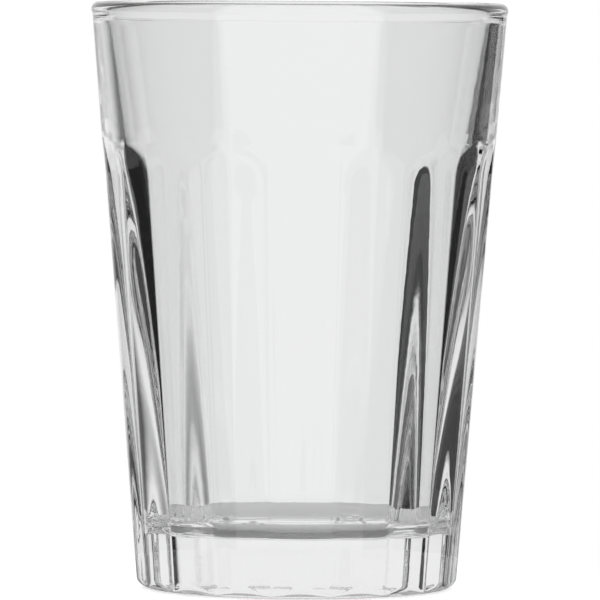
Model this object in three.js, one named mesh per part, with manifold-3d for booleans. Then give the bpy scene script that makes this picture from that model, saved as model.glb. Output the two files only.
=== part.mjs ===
// A rocks glass pressed in one piece of clear glass: a tapered wall with a plain drinking band above
// a ring of flat flutes, each ending in an arch, on a thick solid base with a shallow hollow underneath.
// The wall is thick behind the flutes, and a shoulder inside leads to the thinner wall of the drinking band.
// Millimetres, +Z up. The table plane is z = 0 and the glass stands on the Z axis, with a flute facing -Y.
import * as THREE from 'three';
import { mergeVertices } from 'three/addons/utils/BufferGeometryUtils.js';
import Module from 'manifold-3d';

// Overall form
const HEIGHT = 111;
const RIM_DIAMETER = 79; // over the ring round the lip
const FOOT_DIAMETER = 60.8; // where the outer taper would meet the table
const BASE_THICKNESS = 10.4; // from the table to the cavity floor

// Rim
const RING_HEIGHT = 2.1;
const RING_PROUD = 0.2; // how far the ring stands out from the taper
const RING_STEP = 0.3; // height of the sloped step under the ring

// Wall thickness, measured square to the axis, and the cavity that it leaves
const LIP_WALL = 2.4; // across the lip, over its ring
const BAND_WALL = 4.6; // at the top of the shoulder
const BODY_WALL = 7; // at the bottom of the shoulder
const FLOOR_WALL = 5.7; // at the cavity floor, if it had no fillet
const SHOULDER_BELOW_RIM = 25.5; // from the rim down to the top of the shoulder
const SHOULDER_HEIGHT = 5.5;
const FLOOR_FILLET = 4.5;

// Foot
const FOOT_FILLET = 2.7;
const PUNT_DIAMETER = 42; // mouth of the hollow under the foot, inside the bearing ring
const PUNT_DEPTH = 1.2;

// Flutes
const FLUTE_COUNT = 18;
const PLAIN_BAND = 28; // from the rim down to the crowns of the arches
const ARCH_HEIGHT = 4.5; // from an arch's springing to its crown
const CROWN_DEPTH = 0.38; // depth of a flute at the springing of its arch
const FOOT_DEPTH = 0.45; // depth of a flute at the table plane
const CUT_MARGIN = 2; // how far a cutter reaches past the glass

// Fineness of the facets
const COLUMNS_PER_FLUTE = 6;
const ARC_STEPS = 6;
const LIP_STEPS = 10;
const RUN_OUT_STEPS = 7;
const SHOULDER_STEPS = 8;

// Sizes that follow from those above
const footRadius = FOOT_DIAMETER / 2;
const ringRadius = RIM_DIAMETER / 2;
const ringFoot = HEIGHT - RING_HEIGHT;
const wallSlope = (ringRadius - RING_PROUD - footRadius) / ringFoot;
const wallAngle = Math.atan(wallSlope);
const lipRadius = LIP_WALL / 2;
const shoulderTop = HEIGHT - SHOULDER_BELOW_RIM;
const shoulderFoot = shoulderTop - SHOULDER_HEIGHT;
const crownHeight = HEIGHT - PLAIN_BAND;
const springHeight = crownHeight - ARCH_HEIGHT;
const runOutRadius = (ARCH_HEIGHT ** 2 + CROWN_DEPTH ** 2) / (2 * CROWN_DEPTH);

const wallRadius = (z) => footRadius + wallSlope * z;

// Corners of the bore, as radius and height: the lip, both ends of the shoulder, and the floor.
const boreLip = new THREE.Vector2(ringRadius - LIP_WALL, HEIGHT - lipRadius);
const boreBand = new THREE.Vector2(wallRadius(shoulderTop) - BAND_WALL, shoulderTop);
const boreBody = new THREE.Vector2(wallRadius(shoulderFoot) - BODY_WALL, shoulderFoot);
const boreFloor = new THREE.Vector2(wallRadius(BASE_THICKNESS) - FLOOR_WALL, BASE_THICKNESS);

// Points of an arc in the profile plane, without its first point.
function arcPoints(centre, radius, from, to, steps) {
  const points = [];
  for (let i = 1; i <= steps; i += 1) {
    const angle = from + ((to - from) * i) / steps;
    points.push(new THREE.Vector2(centre.x + radius * Math.cos(angle), centre.y + radius * Math.sin(angle)));
  }
  return points;
}

// The hollow under the foot, from its middle out to the bearing ring: a shallow spherical cap.
function puntPoints() {
  const mouth = PUNT_DIAMETER / 2;
  const radius = (mouth ** 2 + PUNT_DEPTH ** 2) / (2 * PUNT_DEPTH);
  const centre = new THREE.Vector2(0, PUNT_DEPTH - radius);
  const edge = Math.atan2(-centre.y, mouth);
  return [new THREE.Vector2(0, PUNT_DEPTH), ...arcPoints(centre, radius, Math.PI / 2, edge, ARC_STEPS)];
}

// The foot's rounded corner, from the table plane up to the taper.
function footPoints() {
  const inset = FOOT_FILLET / Math.cos(wallAngle);
  const centre = new THREE.Vector2(wallRadius(FOOT_FILLET) - inset, FOOT_FILLET);
  const start = new THREE.Vector2(centre.x, 0);
  return [start, ...arcPoints(centre, FOOT_FILLET, -Math.PI / 2, -wallAngle, ARC_STEPS)];
}

// The drinking band, the ring and the round lip, from the taper over to the bore.
function rimPoints() {
  const centre = new THREE.Vector2(boreLip.x + lipRadius, boreLip.y);
  return [
    new THREE.Vector2(wallRadius(shoulderTop), shoulderTop),
    new THREE.Vector2(wallRadius(ringFoot), ringFoot),
    new THREE.Vector2(ringRadius, ringFoot + RING_STEP),
    new THREE.Vector2(ringRadius, centre.y),
    ...arcPoints(centre, lipRadius, 0, Math.PI, LIP_STEPS),
  ];
}

// The shoulder: a smooth bend that leaves the band's taper and joins the body's taper.
function shoulderPoints() {
  const reach = SHOULDER_HEIGHT / 2;
  const bandWay = boreBand.clone().sub(boreLip).normalize();
  const bodyWay = boreBody.clone().sub(boreFloor).normalize();
  const bend = new THREE.CubicBezierCurve(
    boreBand,
    boreBand.clone().addScaledVector(bandWay, reach),
    boreBody.clone().addScaledVector(bodyWay, reach),
    boreBody,
  );
  return bend.getPoints(SHOULDER_STEPS);
}

// The cavity's rounded floor corner and its floor, from the bore in to the middle.
function floorPoints() {
  const boreSlope = (boreBody.x - boreFloor.x) / (boreBody.y - boreFloor.y);
  const boreAngle = Math.atan(boreSlope);
  const inset = FLOOR_FILLET / Math.cos(boreAngle);
  const boreAtCentre = boreFloor.x + boreSlope * FLOOR_FILLET;
  const centre = new THREE.Vector2(boreAtCentre - inset, BASE_THICKNESS + FLOOR_FILLET);
  const start = new THREE.Vector2(
    centre.x + FLOOR_FILLET * Math.cos(boreAngle),
    centre.y - FLOOR_FILLET * Math.sin(boreAngle),
  );
  return [
    start,
    ...arcPoints(centre, FLOOR_FILLET, -boreAngle, -Math.PI / 2, ARC_STEPS),
    new THREE.Vector2(0, BASE_THICKNESS),
  ];
}

// The plain blank, before its flutes: one profile turned about the axis.
function blankGeometry() {
  const underside = [...puntPoints(), ...footPoints()];
  const inside = [...shoulderPoints(), ...floorPoints()];
  const profile = [...underside, ...rimPoints(), ...inside];
  return new THREE.LatheGeometry(profile, FLUTE_COUNT * COLUMNS_PER_FLUTE).rotateX(Math.PI / 2);
}

// One flute's cutter, turned to face -Y: a flat that follows the taper and runs out of the wall
// along an arc at the top, so that it leaves an arched end.
function fluteCutterGeometry() {
  const low = -CUT_MARGIN;
  const faceFoot = footRadius - FOOT_DEPTH;
  const faceSpring = wallRadius(springHeight) - CROWN_DEPTH;
  const faceSlope = (faceSpring - faceFoot) / springHeight;
  const faceAngle = Math.atan(faceSlope);
  const runOutCentre = new THREE.Vector2(
    faceSpring + runOutRadius * Math.cos(faceAngle),
    springHeight - runOutRadius * Math.sin(faceAngle),
  );
  const runOutStart = Math.PI - faceAngle;
  const runOutSweep = Math.acos(1 - (CROWN_DEPTH + CUT_MARGIN) / runOutRadius);
  const runOut = arcPoints(runOutCentre, runOutRadius, runOutStart, runOutStart - runOutSweep, RUN_OUT_STEPS);
  const top = runOut[runOut.length - 1];
  const outside = Math.max(top.x, wallRadius(top.y)) + CUT_MARGIN;
  const outline = new THREE.Shape([
    new THREE.Vector2(faceFoot + faceSlope * low, low),
    new THREE.Vector2(faceSpring, springHeight),
    ...runOut,
    new THREE.Vector2(outside, top.y),
    new THREE.Vector2(outside, low),
  ]);
  const halfWidth = Math.sqrt(wallRadius(springHeight) ** 2 - faceSpring ** 2) + CUT_MARGIN;
  const cutter = new THREE.ExtrudeGeometry(outline, { depth: 2 * halfWidth, bevelEnabled: false });
  return cutter.translate(0, 0, -halfWidth).rotateX(Math.PI / 2).rotateZ(-Math.PI / 2);
}

const wasm = await Module();
wasm.setup();

// A closed solid from a geometry, ready to be cut.
function solidOf(geometry) {
  const bare = geometry.clone();
  bare.deleteAttribute('normal');
  bare.deleteAttribute('uv');
  const merged = mergeVertices(bare);
  return new wasm.Manifold(new wasm.Mesh({
    numProp: 3,
    vertProperties: new Float32Array(merged.attributes.position.array),
    triVerts: new Uint32Array(merged.index.array),
  }));
}

// A geometry from a solid.
function geometryOf(solid) {
  const mesh = solid.getMesh();
  const geometry = new THREE.BufferGeometry();
  geometry.setAttribute('position', new THREE.BufferAttribute(mesh.vertProperties, 3));
  geometry.setIndex(new THREE.BufferAttribute(mesh.triVerts, 1));
  geometry.computeVertexNormals();
  return geometry;
}

// The blank with a flute cut at each place round the axis.
function tumblerGeometry() {
  const cutter = fluteCutterGeometry();
  let glass = solidOf(blankGeometry());
  for (let i = 0; i < FLUTE_COUNT; i += 1) {
    const place = (2 * Math.PI * i) / FLUTE_COUNT;
    glass = glass.subtract(solidOf(cutter.clone().rotateZ(place)));
  }
  return geometryOf(glass);
}

const clearGlass = new THREE.MeshStandardMaterial({ color: 0xeef2f2, roughness: 0.03, metalness: 0 });

const tumbler = new THREE.Mesh(tumblerGeometry(), clearGlass);
tumbler.name = 'tumbler';

const rocksGlass = new THREE.Group();
rocksGlass.add(tumbler);

export default rocksGlass;
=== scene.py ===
"""A clear pressed rocks glass on white: plain band, ring of bulging arched panels, thick base. In metres."""
import math

import bpy
from mathutils import Matrix, Vector


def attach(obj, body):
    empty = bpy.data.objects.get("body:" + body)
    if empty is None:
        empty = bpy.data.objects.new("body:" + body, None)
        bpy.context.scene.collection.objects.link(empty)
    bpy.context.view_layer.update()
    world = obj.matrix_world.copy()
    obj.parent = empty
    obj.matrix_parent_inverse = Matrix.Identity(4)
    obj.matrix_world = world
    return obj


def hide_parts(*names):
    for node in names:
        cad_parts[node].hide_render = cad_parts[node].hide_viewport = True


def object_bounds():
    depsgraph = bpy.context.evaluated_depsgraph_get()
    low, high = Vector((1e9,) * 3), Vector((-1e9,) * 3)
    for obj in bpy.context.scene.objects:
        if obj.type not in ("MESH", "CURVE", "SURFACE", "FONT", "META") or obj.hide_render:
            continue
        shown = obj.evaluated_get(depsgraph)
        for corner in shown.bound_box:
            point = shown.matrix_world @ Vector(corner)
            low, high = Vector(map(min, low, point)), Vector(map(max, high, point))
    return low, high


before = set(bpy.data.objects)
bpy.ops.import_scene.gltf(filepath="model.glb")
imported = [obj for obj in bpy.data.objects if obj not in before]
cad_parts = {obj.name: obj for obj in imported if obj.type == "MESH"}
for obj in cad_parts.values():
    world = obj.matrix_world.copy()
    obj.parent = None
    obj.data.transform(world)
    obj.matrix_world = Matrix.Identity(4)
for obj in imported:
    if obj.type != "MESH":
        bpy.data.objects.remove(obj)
cad_low, cad_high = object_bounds()

MM = 0.001

# Overall form: the foot radius is where the outer taper would meet the table
HEIGHT = cad_high[2]
RING_RADIUS = cad_high[0]
FOOT_RADIUS = 30.4 * MM
BASE_THICKNESS = 10.8 * MM

# Ring round the lip
RING_HEIGHT = 2.1 * MM
RING_PROUD = 0.2 * MM
RING_STEP = 0.3 * MM

# Wall thickness across the lip and at the cavity floor
LIP_WALL = 3.0 * MM
FLOOR_WALL = 8.5 * MM
FLOOR_FILLET = 4.5 * MM

# Foot, with the hollow under it
FOOT_FILLET = 2.7 * MM
FOOT_ROUNDING = 0.3 * MM
PUNT_RADIUS = 21.0 * MM
PUNT_DEPTH = 1.2 * MM

# Panels: depth below the taper at a panel's middle and in a groove, and how sharp the groove is
PANEL_COUNT = 17
PLAIN_BAND = 26.3 * MM
ARCH_HEIGHT = 7.0 * MM
CREST_DEPTH = 0.1 * MM
GROOVE_DEPTH = 0.9 * MM
GROOVE_CREASE = 0.5

# Fineness of the mesh: columns round the wall, and steps along each stretch of the half section
COLUMNS_PER_PANEL = 24
PUNT_STEPS = 12
BEARING_STEPS = 4
FOOT_STEPS = 14
BODY_STEPS = 30
ARCH_STEPS = 44
BAND_STEPS = 10
RING_SLOPE_STEPS = 4
RING_FACE_STEPS = 3
LIP_STEPS = 20
BORE_STEPS = 40
FLOOR_CORNER_STEPS = 14
FLOOR_STEPS = 7
FINE_BELOW_ARCH = 2.0 * MM
FINE_ABOVE_ARCH = 1.0 * MM
MERGE_DISTANCE = 0.002 * MM

# Clear glass, its mould ripple and its handling haze
GLASS_IOR = 1.52
RIPPLE_SCALE = 320.0
RIPPLE_DETAIL = 2.0
RIPPLE_STRENGTH = 0.35
RIPPLE_HEIGHT = 0.02 * MM
HAZE_SCALE = 55.0
HAZE_DETAIL = 4.0
HAZE_START = 0.55
HAZE_END = 0.85
HAZE_ROUGHNESS = 0.03
CLEAR_COLOUR = (1.0, 1.0, 1.0, 1.0)
TINTED_COLOUR = (0.985, 0.99, 0.99, 1.0)

# Photograph's view
VIEW_TURN = math.radians(-1.7)
VIEW_DISTANCE = 1.46
VIEW_HEIGHT = 121.2 * MM
AIM_HEIGHT = 54.54 * MM
VIEW_ROLL = math.radians(0.37)
VIEW_REACH = 100.0
FRAME_PIXELS = 600
RIM_PIXELS = 416.3
AXIS_PIXEL = 298.0
CLEAR_BOUNCES = 24
MIRROR_BOUNCES = 16

# White table top, which glows for the viewer only
TABLE_RADIUS = 0.07
TABLE_DROP = 0.2 * MM
TABLE_SIDES = 96
TABLE_GLOW = 0.65
PAPER_COLOUR = (0.8, 0.8, 0.8, 1.0)
PAPER_ROUGHNESS = 0.9
GLOW_COLOUR = (1.0, 1.0, 1.0, 1.0)

# Studio light, with dark cards on both sides that all end at one angle
ROOM_LIGHT = 0.86
CARD_DARK = 0.012
CARD_END = math.radians(130.0)
CARD_END_EDGE = math.radians(1.0)
CARD_TOP_EDGE = math.sin(math.radians(1.0))
# Where each card starts and half the width of its soft edge, in degrees from straight behind the glass,
# the sine of the height of its top, and how much of the light it takes away
CARDS = (
    {"side": 1.0, "start": 21.0, "edge": 1.5, "top": -0.01, "strength": 0.94},
    {"side": 1.0, "start": 40.0, "edge": 3.0, "top": -0.01, "strength": 1.0},
    {"side": 1.0, "start": 50.0, "edge": 1.0, "top": 0.6, "strength": 1.0},
    {"side": -1.0, "start": 33.0, "edge": 6.0, "top": -0.01, "strength": 0.88},
    {"side": -1.0, "start": 45.0, "edge": 3.0, "top": -0.01, "strength": 1.0},
    {"side": -1.0, "start": 46.0, "edge": 1.0, "top": 0.6, "strength": 1.0},
)

# Sizes that follow from those above
RING_FOOT = HEIGHT - RING_HEIGHT
WALL_SLOPE = (RING_RADIUS - RING_PROUD - FOOT_RADIUS) / RING_FOOT
CROWN_HEIGHT = HEIGHT - PLAIN_BAND
SPRING_HEIGHT = CROWN_HEIGHT - ARCH_HEIGHT


def wall_radius(height):
    """Radius of the outer taper."""
    return FOOT_RADIUS + WALL_SLOPE * height


def spread(start, end, steps):
    """Even values from just after start to end."""
    return [start + (end - start) * i / steps for i in range(1, steps + 1)]


def arc(centre, radius, start, end, steps):
    """Points of an arc in the profile's plane, without its first one."""
    across, up = centre
    turns = spread(start, end, steps)
    return [(across + radius * math.cos(a), up + radius * math.sin(a)) for a in turns]


def line(start, end, steps):
    """Points of a straight run, without its first one."""
    return [tuple(Vector(start).lerp(Vector(end), t)) for t in spread(0, 1, steps)]


def foot_profile():
    """From under the middle, over the hollow and the bearing ring, round the foot's corner to the taper."""
    wall_angle = math.atan(WALL_SLOPE)
    points = [(PUNT_RADIUS * t, PUNT_DEPTH * (1 - t * t)) for t in spread(0, 1, PUNT_STEPS)]
    points.insert(0, (0.0, PUNT_DEPTH))
    corner = (wall_radius(FOOT_FILLET) - FOOT_FILLET / math.cos(wall_angle), FOOT_FILLET)
    points += line(points[-1], (corner[0], 0.0), BEARING_STEPS)
    points += arc(corner, FOOT_FILLET, -math.pi / 2, -wall_angle, FOOT_STEPS)
    return points


def wall_profile(foot):
    """Up the taper, with fine steps over the arches, then the ring and over the round lip to the bore."""
    stretches = (
        (SPRING_HEIGHT - FINE_BELOW_ARCH, BODY_STEPS),
        (CROWN_HEIGHT + FINE_ABOVE_ARCH, ARCH_STEPS),
        (RING_FOOT, BAND_STEPS),
    )
    points = [foot]
    for height, steps in stretches:
        points += line(points[-1], (wall_radius(height), height), steps)
    lip = LIP_WALL / 2
    lip_centre = (RING_RADIUS - lip, HEIGHT - lip)
    points += line(points[-1], (RING_RADIUS, RING_FOOT + RING_STEP), RING_SLOPE_STEPS)
    points += line(points[-1], (RING_RADIUS, lip_centre[1]), RING_FACE_STEPS)
    points += arc(lip_centre, lip, 0, math.pi, LIP_STEPS)
    return points[1:]


def bore_profile(lip):
    """Down the straight bore, round the cavity's corner and along its floor to the middle."""
    floor = (wall_radius(BASE_THICKNESS) - FLOOR_WALL, BASE_THICKNESS)
    slope = (lip[0] - floor[0]) / (lip[1] - floor[1])
    angle = math.atan(slope)
    inset = FLOOR_FILLET / math.cos(angle)
    corner = (floor[0] + slope * FLOOR_FILLET - inset, BASE_THICKNESS + FLOOR_FILLET)
    start = arc(corner, FLOOR_FILLET, 0, -angle, 1)[0]
    points = line(lip, start, BORE_STEPS)
    points += arc(corner, FLOOR_FILLET, -angle, -math.pi / 2, FLOOR_CORNER_STEPS)
    points += line(points[-1], (0.0, BASE_THICKNESS), FLOOR_STEPS)
    return points


def turned_profile():
    """The half section as radius and height, from under the middle round to the cavity floor's middle."""
    points = foot_profile()
    points += wall_profile(points[-1])
    points += bore_profile(points[-1])
    return points


class Tree:
    """Short ways to place and join nodes in a tree."""

    def __init__(self, tree):
        self.tree = tree

    def node(self, kind, **settings):
        made = self.tree.nodes.new(kind)
        for name, value in settings.items():
            setattr(made, name, value)
        return made

    def put(self, socket, value):
        if hasattr(value, "is_output"):
            self.tree.links.new(value, socket)
        else:
            socket.default_value = value

    def math(self, operation, *values):
        made = self.node("ShaderNodeMath", operation=operation)
        for socket, value in zip(made.inputs, values):
            self.put(socket, value)
        return made.outputs[0]

    def ramp(self, value, start, end, low, high):
        made = self.node("ShaderNodeMapRange")
        limits = {"Value": value, "From Min": start, "From Max": end, "To Min": low, "To Max": high}
        for name, limit in limits.items():
            self.put(made.inputs[name], limit)
        return made.outputs["Result"]


def profile_point(t, profile, row):
    """Radius and height of the half section at a row of the mesh."""
    sample = t.node("GeometryNodeSampleIndex", data_type="FLOAT_VECTOR", domain="POINT")
    t.put(sample.inputs["Geometry"], profile)
    t.put(sample.inputs["Value"], t.node("GeometryNodeInputPosition").outputs[0])
    t.put(sample.inputs["Index"], row)
    parts = t.node("ShaderNodeSeparateXYZ")
    t.put(parts.inputs[0], sample.outputs[0])
    return parts.outputs["X"], parts.outputs["Z"]


def panel_depth(t, given, column, angle):
    """Depth of the wall below its taper: the panels swell and sink in one even wave round the glass.
    A share of it follows a curve that meets its neighbour in a crease along the groove."""
    wave = t.math("COSINE", t.math("MULTIPLY", angle, given["Panels"]))
    swell = t.math("MULTIPLY", t.math("SUBTRACT", 1.0, wave), 0.5)
    turns = t.math("DIVIDE", column, given["Columns per panel"])
    from_middle = t.math("MULTIPLY", t.math("SUBTRACT", turns, t.math("ROUND", turns)), 2.0)
    creased = t.math("MULTIPLY", from_middle, from_middle)
    more = t.math("SUBTRACT", creased, swell)
    sunk = t.math("MULTIPLY_ADD", more, given["Groove crease"], swell)
    return t.math("MULTIPLY_ADD", sunk, given["Groove depth"], given["Crest depth"])


def pressed_radius(t, given, depth, radius, height):
    """Radius after the panels are pressed in. They die away over the arches and leave the band plain."""
    above = t.math("SUBTRACT", height, given["Spring height"])
    up = t.math("DIVIDE", above, given["Arch height"])
    inside = t.math("MINIMUM", t.math("MAXIMUM", up, 0.0), 1.0)
    fade = t.math("SUBTRACT", 1.0, t.math("MULTIPLY", inside, inside))
    wall = t.math("MULTIPLY_ADD", height, given["Wall slope"], given["Foot radius"])
    pressed = t.math("SUBTRACT", wall, t.math("MULTIPLY", depth, fade))
    clear = t.math("MAXIMUM", t.math("SUBTRACT", above, given["Arch height"]), 0.0)
    free = t.math("ADD", pressed, clear)
    rounding = t.math("MULTIPLY", given["Foot rounding"], fade)
    return t.math("SMOOTH_MIN", radius, free, rounding)


def panelled_wall_tree():
    """Turns a profile about the axis and presses a ring of arched panels into its outer wall."""
    tree = bpy.data.node_groups.new("panelled_wall", "GeometryNodeTree")
    face = tree.interface
    face.new_socket("Profile", in_out="INPUT", socket_type="NodeSocketGeometry")
    for name in ("Rows", "Panels", "Columns per panel"):
        face.new_socket(name, in_out="INPUT", socket_type="NodeSocketInt")
    for name in ("Foot radius", "Wall slope", "Spring height", "Arch height", "Crest depth", "Groove depth",
                 "Groove crease", "Foot rounding", "Merge distance"):
        face.new_socket(name, in_out="INPUT", socket_type="NodeSocketFloat")
    face.new_socket("Glass", in_out="INPUT", socket_type="NodeSocketMaterial")
    face.new_socket("Geometry", in_out="OUTPUT", socket_type="NodeSocketGeometry")
    t = Tree(tree)
    given = t.node("NodeGroupInput").outputs
    rows = given["Rows"]

    grid = t.node("GeometryNodeMeshGrid")
    columns = t.math("MULTIPLY", given["Panels"], given["Columns per panel"])
    t.put(grid.inputs["Vertices X"], t.math("ADD", columns, 1.0))
    t.put(grid.inputs["Vertices Y"], rows)
    index = t.node("GeometryNodeInputIndex").outputs[0]
    column = t.math("FLOOR", t.math("DIVIDE", t.math("ADD", index, 0.5), rows))
    row = t.math("ROUND", t.math("SUBTRACT", index, t.math("MULTIPLY", column, rows)))
    angle = t.math("MULTIPLY", t.math("DIVIDE", column, columns), 2 * math.pi)

    radius, height = profile_point(t, given["Profile"], row)
    depth = panel_depth(t, given, column, angle)
    cut = pressed_radius(t, given, depth, radius, height)
    spot = t.node("ShaderNodeCombineXYZ")
    t.put(spot.inputs["X"], t.math("MULTIPLY", cut, t.math("SINE", angle)))
    t.put(spot.inputs["Y"], t.math("MULTIPLY", t.math("MULTIPLY", cut, t.math("COSINE", angle)), -1.0))
    t.put(spot.inputs["Z"], height)

    moved = t.node("GeometryNodeSetPosition")
    t.put(moved.inputs["Geometry"], grid.outputs["Mesh"])
    t.put(moved.inputs["Position"], spot.outputs[0])
    closed = t.node("GeometryNodeMergeByDistance")
    t.put(closed.inputs["Geometry"], moved.outputs[0])
    t.put(closed.inputs["Distance"], given["Merge distance"])
    smooth = t.node("GeometryNodeSetShadeSmooth")
    t.put(smooth.inputs["Geometry"], closed.outputs[0])
    real = t.node("GeometryNodeRealizeInstances")
    t.put(real.inputs[0], smooth.outputs[0])
    dressed = t.node("GeometryNodeSetMaterial")
    t.put(dressed.inputs["Geometry"], real.outputs[0])
    t.put(dressed.inputs["Material"], given["Glass"])
    t.put(t.node("NodeGroupOutput").inputs["Geometry"], dressed.outputs[0])
    return tree


def clear_glass():
    """Colourless pressed glass: a faint ripple from the mould and a little handling haze."""
    made = bpy.data.materials.new("clear_pressed_glass")
    made.use_nodes = True
    t = Tree(made.node_tree)
    shader = made.node_tree.nodes["Principled BSDF"]
    shader.inputs["Transmission Weight"].default_value = 1.0
    shader.inputs["IOR"].default_value = GLASS_IOR
    place = t.node("ShaderNodeTexCoord").outputs["Object"]

    ripple = t.node("ShaderNodeTexNoise")
    t.put(ripple.inputs["Vector"], place)
    ripple.inputs["Scale"].default_value = RIPPLE_SCALE
    ripple.inputs["Detail"].default_value = RIPPLE_DETAIL
    bump = t.node("ShaderNodeBump")
    t.put(bump.inputs["Height"], ripple.outputs["Fac"])
    bump.inputs["Strength"].default_value = RIPPLE_STRENGTH
    bump.inputs["Distance"].default_value = RIPPLE_HEIGHT
    t.put(shader.inputs["Normal"], bump.outputs["Normal"])

    haze = t.node("ShaderNodeTexNoise")
    t.put(haze.inputs["Vector"], place)
    haze.inputs["Scale"].default_value = HAZE_SCALE
    haze.inputs["Detail"].default_value = HAZE_DETAIL
    cloudy = t.ramp(haze.outputs["Fac"], HAZE_START, HAZE_END, 0.0, HAZE_ROUGHNESS)
    t.put(shader.inputs["Roughness"], cloudy)
    tint = t.node("ShaderNodeMix", data_type="RGBA")
    t.put(tint.inputs["Factor"], haze.outputs["Fac"])
    clear, tinted = [socket for socket in tint.inputs if socket.type == "RGBA"]
    clear.default_value = CLEAR_COLOUR
    tinted.default_value = TINTED_COLOUR
    blended = [socket for socket in tint.outputs if socket.type == "RGBA"][0]
    t.put(shader.inputs["Base Color"], blended)
    return made


def make_tumbler():
    """The whole glass as one closed mesh."""
    profile = turned_profile()
    mesh = bpy.data.meshes.new("half_section")
    runs = [(i, i + 1) for i in range(len(profile) - 1)]
    mesh.from_pydata([(radius, 0.0, height) for radius, height in profile], runs, [])
    maker = bpy.data.objects.new("half_section", mesh)
    bpy.context.scene.collection.objects.link(maker)
    tree = panelled_wall_tree()
    values = {
        "Rows": len(profile),
        "Panels": PANEL_COUNT,
        "Columns per panel": COLUMNS_PER_PANEL,
        "Foot radius": FOOT_RADIUS,
        "Wall slope": WALL_SLOPE,
        "Spring height": SPRING_HEIGHT,
        "Arch height": ARCH_HEIGHT,
        "Crest depth": CREST_DEPTH,
        "Groove depth": GROOVE_DEPTH,
        "Groove crease": GROOVE_CREASE,
        "Foot rounding": FOOT_ROUNDING,
        "Merge distance": MERGE_DISTANCE,
        "Glass": clear_glass(),
    }
    panels = maker.modifiers.new("panels", "NODES")
    panels.node_group = tree
    for socket in tree.interface.items_tree:
        if socket.in_out == "INPUT" and socket.name in values:
            panels[socket.identifier] = values[socket.name]
    bpy.context.view_layer.update()
    made = bpy.data.meshes.new_from_object(maker.evaluated_get(bpy.context.evaluated_depsgraph_get()))
    made.name = "rocks_tumbler"
    maker.modifiers.remove(panels)
    bpy.data.objects.remove(maker)
    glass = bpy.data.objects.new("rocks_tumbler", made)
    bpy.context.scene.collection.objects.link(glass)
    return glass


def make_table():
    """The round white table top that the glass stands on."""
    turns = spread(0, 2 * math.pi, TABLE_SIDES)
    ring = [(TABLE_RADIUS * math.cos(a), TABLE_RADIUS * math.sin(a), -TABLE_DROP) for a in turns]
    mesh = bpy.data.meshes.new("white_table")
    mesh.from_pydata(ring, [], [tuple(range(len(ring)))])
    table = bpy.data.objects.new("white_table", mesh)
    bpy.context.scene.collection.objects.link(table)
    paper = bpy.data.materials.new("white_paper")
    paper.use_nodes = True
    shader = paper.node_tree.nodes["Principled BSDF"]
    shader.inputs["Base Color"].default_value = PAPER_COLOUR
    shader.inputs["Roughness"].default_value = PAPER_ROUGHNESS
    shader.inputs["Emission Color"].default_value = GLOW_COLOUR
    t = Tree(paper.node_tree)
    seen = t.node("ShaderNodeLightPath").outputs["Is Camera Ray"]
    t.put(shader.inputs["Emission Strength"], t.math("MULTIPLY", seen, TABLE_GLOW))
    mesh.materials.append(paper)


def make_room():
    """Soft white light all round, dark cards on both sides, and a plain white backdrop."""
    world = bpy.data.worlds.new("studio_room")
    bpy.context.scene.world = world
    world.use_nodes = True
    t = Tree(world.node_tree)
    background = world.node_tree.nodes["Background"]
    way = t.node("ShaderNodeSeparateXYZ")
    t.put(way.inputs[0], t.node("ShaderNodeTexCoord").outputs["Generated"])
    aside = t.math("ADD", t.math("ARCTAN2", way.outputs["X"], way.outputs["Y"]), VIEW_TURN)
    dark = 0.0
    for card in CARDS:
        toward = t.math("MULTIPLY", aside, card["side"])
        near = math.radians(card["start"])
        soft = math.radians(card["edge"])
        top = card["top"]
        start = t.ramp(toward, near - soft, near + soft, 0.0, 1.0)
        end = t.ramp(toward, CARD_END - CARD_END_EDGE, CARD_END + CARD_END_EDGE, 1.0, 0.0)
        under = t.ramp(way.outputs["Z"], top - CARD_TOP_EDGE, top + CARD_TOP_EDGE, 1.0, 0.0)
        across = t.math("MULTIPLY", t.math("MULTIPLY", start, end), card["strength"])
        dark = t.math("MAXIMUM", dark, t.math("MULTIPLY", across, under))
    light = t.ramp(dark, 0.0, 1.0, ROOM_LIGHT, CARD_DARK)
    seen = t.node("ShaderNodeLightPath").outputs["Is Camera Ray"]
    t.put(background.inputs["Color"], t.math("MAXIMUM", light, seen))


def make_camera():
    """The photograph's long-lens view, a little above the rim."""
    data = bpy.data.cameras.new("photo_view")
    camera = bpy.data.objects.new("photo_view", data)
    bpy.context.scene.collection.objects.link(camera)
    turn = Matrix.Rotation(VIEW_TURN, 3, "Z")
    camera.location = turn @ Vector((0.0, -VIEW_DISTANCE, VIEW_HEIGHT))
    way = Vector((0.0, 0.0, AIM_HEIGHT)) - camera.location
    roll = Matrix.Rotation(VIEW_ROLL, 3, "Z")
    camera.rotation_mode = "QUATERNION"
    camera.rotation_quaternion = (way.to_track_quat("-Z", "Y").to_matrix() @ roll).to_quaternion()
    across = FRAME_PIXELS * 2 * RING_RADIUS / RIM_PIXELS
    data.lens = data.sensor_width * way.length / across
    data.shift_x = (FRAME_PIXELS / 2 - AXIS_PIXEL) / FRAME_PIXELS
    data.clip_end = VIEW_REACH
    bpy.context.scene.camera = camera


def set_view():
    """Plain tones, and enough bounces for light to cross the wall and the base."""
    scene = bpy.context.scene
    scene.view_settings.view_transform = "Standard"
    scene.cycles.max_bounces = CLEAR_BOUNCES
    scene.cycles.transmission_bounces = CLEAR_BOUNCES
    scene.cycles.glossy_bounces = MIRROR_BOUNCES


tumbler = make_tumbler()
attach(tumbler, "root")
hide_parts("tumbler")
make_table()
make_room()
make_camera()
set_view()
